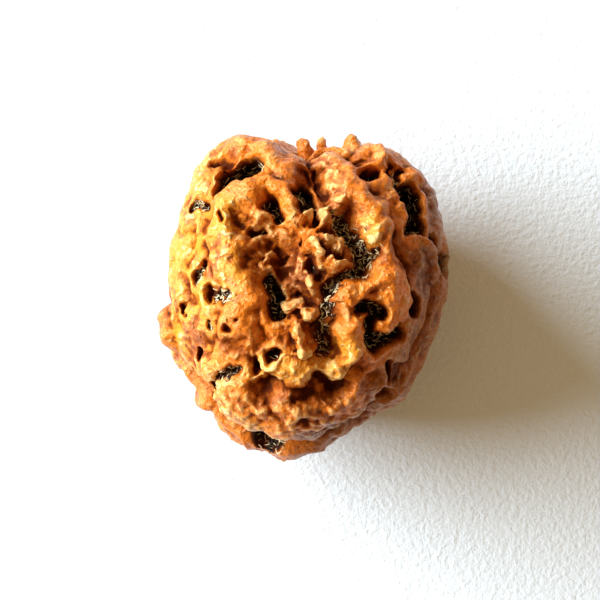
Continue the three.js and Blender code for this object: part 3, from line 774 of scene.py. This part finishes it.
FULL_PIT = 1.1  # a pit this deep, in millimetres, counts as full
FULL_HOLLOW = 1.2
points = mesh_points(stone)
pit_depth = depths["pit"][match] * on_skin
sunk = (depths["hollow"] / FULL_HOLLOW + 0.7 * depths["groove"])[match] * on_skin
edges = np.empty(len(stone.data.edges) * 2, int)
stone.data.edges.foreach_get("vertices", edges)
edges = edges.reshape(-1, 2)
facing = mesh_normals(stone)
near = ((points - smoothed(points, edges, NEAR_ROUNDS)) * facing).sum(axis=1)
wide = ((points - smoothed(points, edges, WIDE_ROUNDS)) * facing).sum(axis=1)
from_axis = points - [HOLE_ASIDE, 0, HOLE_RISE]
hole_axis = rotation(0, HOLE_TILT) @ [0, 1, 0]
in_hole = np.linalg.norm(from_axis - np.outer(from_axis @ hole_axis, hole_axis), axis=1)
bore = (1 - smooth(in_hole, HOLE_RADIUS + 0.1, MOUTH_RADIUS + 0.5)) * (points[:, 1] < 9.0)
set_attribute(stone, "pit", np.clip(pit_depth / FULL_PIT, 0, 1))
set_attribute(stone, "hollow", np.clip(sunk, 0, 1))
set_attribute(stone, "bore", bore)
set_attribute(stone, "near", near)
set_attribute(stone, "wide", wide)
print("near", np.percentile(near, [1, 50, 99]).round(3), "wide", np.percentile(wide, [1, 50, 99]).round(3))

# %% [markdown]
# ## Oiled rudraksha stone
#
# The stone is the woody shell round the seed, hard and close-grained like a nutshell, tumbled clean and
# then oiled and handled. To the eye it is orange-brown with a soft waxy gloss. Its material mixes its
# colours by the attributes and breaks them up with noise. Light and shade are painted into the colour too:
# paler and yellower on the crests and on the side towards the window, cream highlights on the wrinkles,
# and painted shade in the hollows, nearly black in the pits, and on the side away from the window.

# %% Where light and where shade are painted on the stone: the side towards the window and the side away from it
# Half-width, then sketch points of a stroke, as before
# Painted light: strokes on the side that faces the window, where the raised parts turn golden
LIT_SIDE_STROKES = [
    (2.6, [-6.8, 8.6], [-7.4, 6.2], [-7.6, 3.5], [-7.5, 0.5], [-7.6, -2.4], [-7.0, -4.6]),
    (1.9, [-6.2, -6.2], [-5.0, -8.2], [-3.6, -9.3]),
    (1.3, [-4.9, 5.6], [-5.0, 3.4], [-4.4, 1.2]),
    (1.2, [-2.6, -4.9], [-1.0, -4.9], [0.8, -4.5], [2.6, -5.1], [3.2, -3.6]),
    (0.6, [4.6, 4.9], [4.9, 3.4]),
]
set_attribute(stone, "golden", share_near(LIT_SIDE_STROKES))
# Painted shade: strokes on the right side, away from the window, and along the lower right of the belly and
# the strip under its lip, where the belly's shadow falls
PAINTED_SHADE_STROKES = [
    (2.6, [9.8, 6.2], [9.6, 2.6], [9.0, -0.6], [8.2, -3.4], [6.6, -6.0]),
    (1.9, [5.8, -7.2], [3.2, -8.8], [1.4, -10.1]),
    (1.3, [4.9, -9.2], [2.6, -10.7], [0.5, -11.4]),
]
# Painted shade also grows towards the lower right, away from the window, below the upper face
to_lower_right = points[:, :2] @ from_sketch(0.82, -0.57)
away_from_window = smooth(to_lower_right, 5.0, 7.5) * (1 - smooth(points[:, 2], 2.0, 4.5))
set_attribute(stone, "painted_shade_side", np.maximum(share_near(PAINTED_SHADE_STROKES), away_from_window))
print("golden strokes:", len(LIT_SIDE_STROKES), "weathered strokes:", len(PAINTED_SHADE_STROKES))

# %% The stone's material
# Painted light: the golden colour of the raised parts on the side towards the window
PAINTED_LIGHT_GOLD = linear("#e69029")
CREST = linear("#e0761a")
BODY = linear("#a84f10")
SHADE = linear("#4e1a07")
# Painted shade: nearly black for the floors of the deep pits and the string hole
PAINTED_PIT_SHADE = linear("#1e100b")
# Painted shade: the dark brown of the side away from the window
PAINTED_SHADE_BROWN = linear("#592f15")
# Painted highlight: the cream of the highlights on the wrinkles and the grain tops
PAINTED_HIGHLIGHT_CREAM = linear("#f8cc80")
OIL_SHEEN = linear("#ffdba6")


def new_material(name):
    material = bpy.data.materials.new(name)
    material.use_nodes = True
    material.node_tree.nodes.clear()
    return material, material.node_tree


def ramp(tree, value, low, high):
    """Turns a number between low and high into 0 to 1, eased."""
    return add(tree, "ShaderNodeMapRange", {"Value": value, "From Min": low, "From Max": high},
               interpolation_type="SMOOTHSTEP").outputs[0]


def mix(tree, share, first, second):
    """Mixes two colours."""
    return add(tree, "ShaderNodeMix", {0: share, 6: first, 7: second}, data_type="RGBA").outputs[2]


def attribute(tree, name):
    return add(tree, "ShaderNodeAttribute", attribute_name=name).outputs["Fac"]


def noise(tree, size_mm, detail=2.0, roughness=0.5, distortion=0.0):
    """Noise whose lumps are about this many millimetres apart."""
    where = add(tree, "ShaderNodeTexCoord").outputs["Object"]
    return add(tree, "ShaderNodeTexNoise", {"Vector": where, "Scale": 1 / (size_mm * MM), "Detail": detail,
                                            "Roughness": roughness, "Distortion": distortion}).outputs[0]


def bumped(tree, height, strength, depth_mm, normal=None):
    """A normal for bumps of this depth, laid over another normal."""
    inputs = {"Height": height, "Strength": strength, "Distance": depth_mm * MM}
    if normal:
        inputs["Normal"] = normal
    return add(tree, "ShaderNodeBump", inputs).outputs[0]


stone_finish, tree = new_material("oiled_rudraksha_stone")
patches = noise(tree, 3.0, detail=3.0)
mottle = noise(tree, 0.7, detail=3.0, roughness=0.6, distortion=0.5)
speckle = noise(tree, 0.28, detail=3.0, roughness=0.65)
where = add(tree, "ShaderNodeTexCoord").outputs["Object"]
pores = add(tree, "ShaderNodeTexVoronoi", {"Vector": where, "Scale": 1 / (0.42 * MM)}).outputs["Distance"]
worms = add(tree, "ShaderNodeTexNoise", {"Vector": where, "Scale": 1 / (0.75 * MM), "Detail": 2.0,
                                         "Distortion": 0.8}, noise_type="RIDGED_MULTIFRACTAL").outputs[0]
high = maths(tree, "ADD", attribute(tree, "near"), maths(tree, "MULTIPLY", attribute(tree, "wide"), 0.3))
uneven = maths(tree, "ADD", maths(tree, "MULTIPLY", maths(tree, "SUBTRACT", patches, 0.5), 0.6),
               maths(tree, "MULTIPLY", maths(tree, "SUBTRACT", mottle, 0.5), 0.5))
mottled = maths(tree, "ADD", high, uneven)
# Partly the stone's own mottled tone and partly painted light: what stands out of its neighbourhood turns to
# the lighter crest colour
colour = mix(tree, ramp(tree, mottled, -0.06, 0.15), BODY, CREST)
# Painted light: the raised parts of the side towards the window turn golden
golden = maths(tree, "MULTIPLY", attribute(tree, "golden"), ramp(tree, mottled, -0.10, 0.08))
colour = mix(tree, golden, colour, PAINTED_LIGHT_GOLD)
# Painted highlights: cream squiggles along the tops of the wrinkles, stronger on the side towards the window
painted_highlight = maths(tree, "ADD", 0.25, maths(tree, "MULTIPLY", golden, 0.75))
painted_highlight = maths(tree, "MULTIPLY", painted_highlight, ramp(tree, worms, 0.08, 0.26))
painted_highlight = maths(tree, "MULTIPLY", painted_highlight, ramp(tree, high, -0.04, 0.1))
colour = mix(tree, painted_highlight, colour, PAINTED_HIGHLIGHT_CREAM)
specks = maths(tree, "MULTIPLY", maths(tree, "SUBTRACT", speckle, 0.5), 0.3)
grain_height = maths(tree, "ADD", attribute(tree, "near"), specks)
grainy = ramp(tree, attribute(tree, "rough"), 0.45, 0.95)
grain_tops = maths(tree, "MULTIPLY", grainy, ramp(tree, grain_height, 0.02, 0.12))
grain_depth = maths(tree, "MULTIPLY", grain_height, -1.0)
grain_gaps = maths(tree, "MULTIPLY", grainy, ramp(tree, grain_depth, -0.02, 0.1))
# Painted highlights on the tops of the grains
colour = mix(tree, maths(tree, "MULTIPLY", grain_tops, 0.6), colour, PAINTED_HIGHLIGHT_CREAM)
# Painted shade in the gaps between the grains
colour = mix(tree, maths(tree, "MULTIPLY", grain_gaps, 0.4), colour, SHADE)
# Painted shade in low places, darker where the surface sinks below its neighbourhood
low = maths(tree, "SUBTRACT", maths(tree, "MULTIPLY", uneven, -0.5), high)
colour = mix(tree, ramp(tree, low, 0.0, 0.18), colour, SHADE)
colour = mix(tree, maths(tree, "MULTIPLY", ramp(tree, speckle, 0.54, 0.72), 0.5), colour, SHADE)
# Painted shade in the broad hollows and the groove
colour = mix(tree, maths(tree, "MULTIPLY", attribute(tree, "hollow"), 0.3), colour, SHADE)
# Painted shade: darker brown, then nearly black, deeper in the pits, in the string hole and in the sunken
# beds under the pulp
deep = maths(tree, "MAXIMUM", attribute(tree, "pit"), attribute(tree, "bore"))
deep = maths(tree, "MAXIMUM", deep, maths(tree, "MULTIPLY", attribute(tree, "pulp"), 0.9))
# Painted shade on the side away from the window and under the belly's lip
colour = mix(tree, maths(tree, "MULTIPLY", attribute(tree, "painted_shade_side"), 0.55), colour, PAINTED_SHADE_BROWN)
# Painted shade by depth, from the mask above
colour = mix(tree, ramp(tree, deep, 0.15, 0.7), colour, SHADE)
colour = mix(tree, ramp(tree, deep, 0.6, 1.0), colour, PAINTED_PIT_SHADE)
wormed = bumped(tree, worms, 0.9, 0.25)
pored = bumped(tree, pores, 0.5, 0.12, wormed)
gritty = bumped(tree, speckle, 0.9, 0.16, pored)
unspoilt = maths(tree, "SUBTRACT", 1.0, ramp(tree, deep, 0.1, 0.6))
proud = maths(tree, "ADD", attribute(tree, "near"), maths(tree, "MULTIPLY", attribute(tree, "wide"), 0.6))
polished = maths(tree, "MULTIPLY", ramp(tree, proud, -0.1, 0.15), unspoilt)
dullness = maths(tree, "SUBTRACT", 0.6, maths(tree, "MULTIPLY", polished, 0.36))
sheen = maths(tree, "ADD", 0.08, maths(tree, "MULTIPLY", polished, 0.72))
shader = add(tree, "ShaderNodeBsdfPrincipled", {
    "Base Color": colour,
    "Roughness": dullness,
    "IOR": 1.5,
    "Specular IOR Level": sheen,
    "Specular Tint": OIL_SHEEN,
    "Subsurface Weight": 0.06,
    "Subsurface Radius": (1.0, 0.4, 0.15),
    "Subsurface Scale": 0.5 * MM,
    "Normal": gritty,
})
add(tree, "ShaderNodeOutputMaterial", {"Surface": shader.outputs[0]})
stone.data.materials.clear()
stone.data.materials.append(stone_finish)
stone.data.shade_smooth()
print("stone finish with", len(tree.nodes), "nodes")

# %% [markdown]
# ## Dried pulp in the pits
#
# When the fruit is washed off the stone, short flakes and fibres of pulp stay in the deep places. They
# dry to straw and dark brown. They are scattered by Geometry Nodes on the stone's own surface, where an
# attribute says that there are some, more in some clumps than between them. Each is a short bent strand
# laid nearly flat and turned at random.

# %% Where the pulp clings
PULP_BEDS = [
    (0.7, [2.8, 5.4], [3.4, 4.4], [4.7, 3.0], [4.2, 1.9]),
    (0.42, [4.2, 1.9], [2.2, 0.5], [2.0, -0.8], [1.7, -2.3], [1.8, -3.7]),
    (0.6, [-3.2, 9.1], [-3.8, 9.0]),
    (0.4, [-7.0, 6.1], [-6.6, 6.3]),
    (0.4, [-6.8, 1.7], [-6.9, 1.0]),
    (0.5, [-5.5, 0.0], [-4.6, 0.15]),
    (0.3, [-6.3, -1.8], [-6.0, -2.2]),
    (0.45, [-5.5, -5.9], [-4.4, -5.0]),
    (0.35, [6.8, 8.4], [6.9, 7.7]),
]
PIT_PULP = 0.4  # how much pulp the floors of the pits hold
floors = PIT_PULP * smooth(pit_depth, 0.75, FULL_PIT)
beds = share_near(PULP_BEDS) * (1 - smooth(near, 0.0, 0.06)) * (1 - smooth(wide, 0.0, 0.25))
mouth = 1.8 * bore * smooth(points[:, 0], -0.7, 0.1) * (1 - smooth(points[:, 1], -10.0, -9.2))
clear_of_table = smooth(points[:, 2], -REST_HEIGHT + 0.6, -REST_HEIGHT + 1.4)
pulp = np.maximum(beds, np.maximum(floors, mouth)) * clear_of_table
set_attribute(stone, "pulp", pulp)
clumps = np.sin(6.1 * points[:, 0] + 2.0 * points[:, 1]) * np.sin(5.3 * points[:, 1] - 1.7 * points[:, 0])
set_attribute(stone, "strands", pulp * (0.8 + 0.3 * clumps))
print("pulp covers", round(100 * float(pulp.mean()), 1), "% of the points")

# %% Strands of pulp with Geometry Nodes
STRAND_INPUTS = {"Strands per m2": 24e6, "Length": 0.45 * MM, "Thickness": 0.08 * MM, "Seed": 11.0}


def strand_tree(name, finish):
    """A tree that turns a surface into strands of pulp lying on it."""
    tree, given = new_geometry_tree(name, STRAND_INPUTS)
    share = add(tree, "GeometryNodeInputNamedAttribute", {"Name": "strands"}, data_type="FLOAT").outputs[0]
    density = maths(tree, "MULTIPLY", share, given["Strands per m2"])
    seed = add(tree, "FunctionNodeFloatToInt", {0: given["Seed"]}).outputs[0]
    spread = add(tree, "GeometryNodeDistributePointsOnFaces",
                 {"Mesh": given["Geometry"], "Density": density, "Seed": seed})
    line = add(tree, "GeometryNodeCurveQuadraticBezier", {
        "Resolution": 4, "Start": (-0.5, 0, 0), "Middle": (0.0, 0.28, 0.25), "End": (0.5, 0.05, 0.0)})
    half = maths(tree, "MULTIPLY", given["Thickness"], 0.5)
    thin = maths(tree, "DIVIDE", half, given["Length"])
    section = add(tree, "GeometryNodeCurvePrimitiveCircle", {"Resolution": 4, "Radius": thin})
    strand = add(tree, "GeometryNodeCurveToMesh",
                 {"Curve": line.outputs[0], "Profile Curve": section.outputs[0], "Fill Caps": True})
    lift = add(tree, "ShaderNodeVectorMath", {0: add(tree, "GeometryNodeInputNormal").outputs[0],
                                              "Scale": half}, operation="SCALE")
    spin = add(tree, "FunctionNodeRandomValue", {0: (-0.5, -0.5, 0.0), 1: (0.5, 0.5, 6.283)},
               data_type="FLOAT_VECTOR").outputs[0]
    size = add(tree, "FunctionNodeRandomValue", {2: 0.45, 3: 1.35}, data_type="FLOAT").outputs[1]
    full = maths(tree, "MULTIPLY", size, given["Length"])
    turned_by = add(tree, "FunctionNodeEulerToRotation", {0: spin}).outputs[0]
    both = add(tree, "FunctionNodeRotateRotation", {0: spread.outputs["Rotation"], 1: turned_by},
               rotation_space="LOCAL").outputs[0]
    placed = add(tree, "GeometryNodeSetPosition", {"Geometry": spread.outputs["Points"],
                                                   "Offset": lift.outputs[0]}).outputs[0]
    copies = add(tree, "GeometryNodeInstanceOnPoints", {
        "Points": placed, "Instance": strand.outputs[0], "Rotation": both, "Scale": full}).outputs[0]
    tone = add(tree, "FunctionNodeRandomValue", {2: 0.0, 3: 1.0, "Seed": 5}, data_type="FLOAT").outputs[1]
    toned = add(tree, "GeometryNodeStoreNamedAttribute", {"Geometry": copies, "Name": "tone", "Value": tone},
                data_type="FLOAT", domain="INSTANCE").outputs[0]
    whole = add(tree, "GeometryNodeRealizeInstances", {"Geometry": toned}).outputs[0]
    dressed = add(tree, "GeometryNodeSetMaterial", {"Geometry": whole, "Material": finish}).outputs[0]
    add(tree, "NodeGroupOutput", {"Geometry": dressed})
    return tree


# %% [markdown]
# ## Dried pulp fibre
#
# Dried pulp is a matt, papery plant fibre. To the eye each strand has its own tone, from pale straw,
# where it stands up in the light, to dark brown.

# %% The pulp's material and its strands
pulp_finish, tree = new_material("dried_pulp_fibre")
tone = attribute(tree, "tone")
straw = mix(tree, ramp(tree, tone, 0.2, 0.4), linear("#2c1a12"), linear("#8f6238"))
straw = mix(tree, ramp(tree, tone, 0.4, 0.6), straw, linear("#ecd5a2"))
shader = add(tree, "ShaderNodeBsdfPrincipled", {"Base Color": straw, "Roughness": 0.75, "IOR": 1.45})
add(tree, "ShaderNodeOutputMaterial", {"Surface": shader.outputs[0]})

strands = bpy.data.objects.new("dried_pulp", stone.data.copy())
bpy.context.scene.collection.objects.link(strands)
run_tree(strands, strand_tree("pulp_strands", pulp_finish), STRAND_INPUTS)
strands.data.materials.clear()
strands.data.materials.append(pulp_finish)
print("pulp strands:", len(strands.data.polygons), "faces")

# %% [markdown]
# ## Fit the pieces to the frame
#
# Both pieces ride on the one body that the bead has, and the stone stands for the CAD model's solid. The
# strands go with it.

# %% Ride and replace
for piece in (stone, strands):
    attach(piece, "root")
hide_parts("bead")

# %% [markdown]
# ## Paper, light and camera
#
# The bead lies on white drawing paper beside a window at its left. A wide, low area light gives the
# window's shadow, which is soft at its sides and fades with distance. A dim warm world stands for the
# light that the room gives back, and fills the shadow. The camera looks straight down.

# %% A sheet of white paper
PAPER_HALF = 0.6
paper_mesh = bpy.data.meshes.new("paper")
corners = [(-PAPER_HALF, -PAPER_HALF, 0), (PAPER_HALF, -PAPER_HALF, 0), (PAPER_HALF, PAPER_HALF, 0),
           (-PAPER_HALF, PAPER_HALF, 0)]
paper_mesh.from_pydata(corners, [], [(0, 1, 2, 3)])
paper = bpy.data.objects.new("paper", paper_mesh)
bpy.context.scene.collection.objects.link(paper)
paper_finish, tree = new_material("white_drawing_paper")
tooth = noise(tree, 0.45, detail=4.0, roughness=0.6)
shader = add(tree, "ShaderNodeBsdfPrincipled",
             {"Base Color": linear("#eff5f7"), "Roughness": 0.9, "Normal": bumped(tree, tooth, 1.0, 0.12)})
add(tree, "ShaderNodeOutputMaterial", {"Surface": shader.outputs[0]})
paper_mesh.materials.append(paper_finish)

# %% Window light and the room's warm fill
LIGHT_FROM = math.radians(161) + SKETCH_TURN  # where the window is, round the bead
LIGHT_HEIGHT = math.radians(29)
LIGHT_DISTANCE = 0.6
HALF_WIDTH_SEEN = math.radians(28)  # as seen from the bead
HALF_HEIGHT_SEEN = math.radians(6)
window = bpy.data.lights.new("window", "AREA")
window.shape = "RECTANGLE"
window.size = 2 * LIGHT_DISTANCE * math.tan(HALF_WIDTH_SEEN)
window.size_y = 2 * LIGHT_DISTANCE * math.tan(HALF_HEIGHT_SEEN)
window.energy = 12.1
window.color = (0.78, 0.89, 1.0)
window_lamp = bpy.data.objects.new("window", window)
towards = Vector((math.cos(LIGHT_HEIGHT) * math.cos(LIGHT_FROM),
                  math.cos(LIGHT_HEIGHT) * math.sin(LIGHT_FROM), math.sin(LIGHT_HEIGHT)))
window_lamp.location = towards * LIGHT_DISTANCE
window_lamp.rotation_euler = towards.to_track_quat("Z", "Y").to_euler()
bpy.context.scene.collection.objects.link(window_lamp)
room = bpy.data.worlds.new("room")
room.use_nodes = True
room.node_tree.nodes["Background"].inputs["Color"].default_value = (0.375, 0.262, 0.142, 1.0)
bpy.context.scene.world = room
bpy.context.scene.view_settings.view_transform = "Standard"

# %% A camera that looks straight down
PICTURE_PIXELS = 600
PIXELS_PER_MM = 14  # at the height of the stone's middle
PICTURE_MIDDLE = (0.14, -0.21)  # sketch point at the middle of the picture
CAMERA_DISTANCE = 250 * MM
camera_data = bpy.data.cameras.new("camera")
camera_data.lens = camera_data.sensor_width * CAMERA_DISTANCE / (PICTURE_PIXELS / PIXELS_PER_MM * MM)
camera = bpy.data.objects.new("camera", camera_data)
middle = from_sketch(*PICTURE_MIDDLE)
camera.location = (middle[0] * MM, middle[1] * MM, REST_HEIGHT * MM + CAMERA_DISTANCE)
camera.rotation_euler = (0, 0, SKETCH_TURN)
bpy.context.scene.collection.objects.link(camera)
bpy.context.scene.camera = camera
print("lens", round(camera_data.lens, 1), "mm")
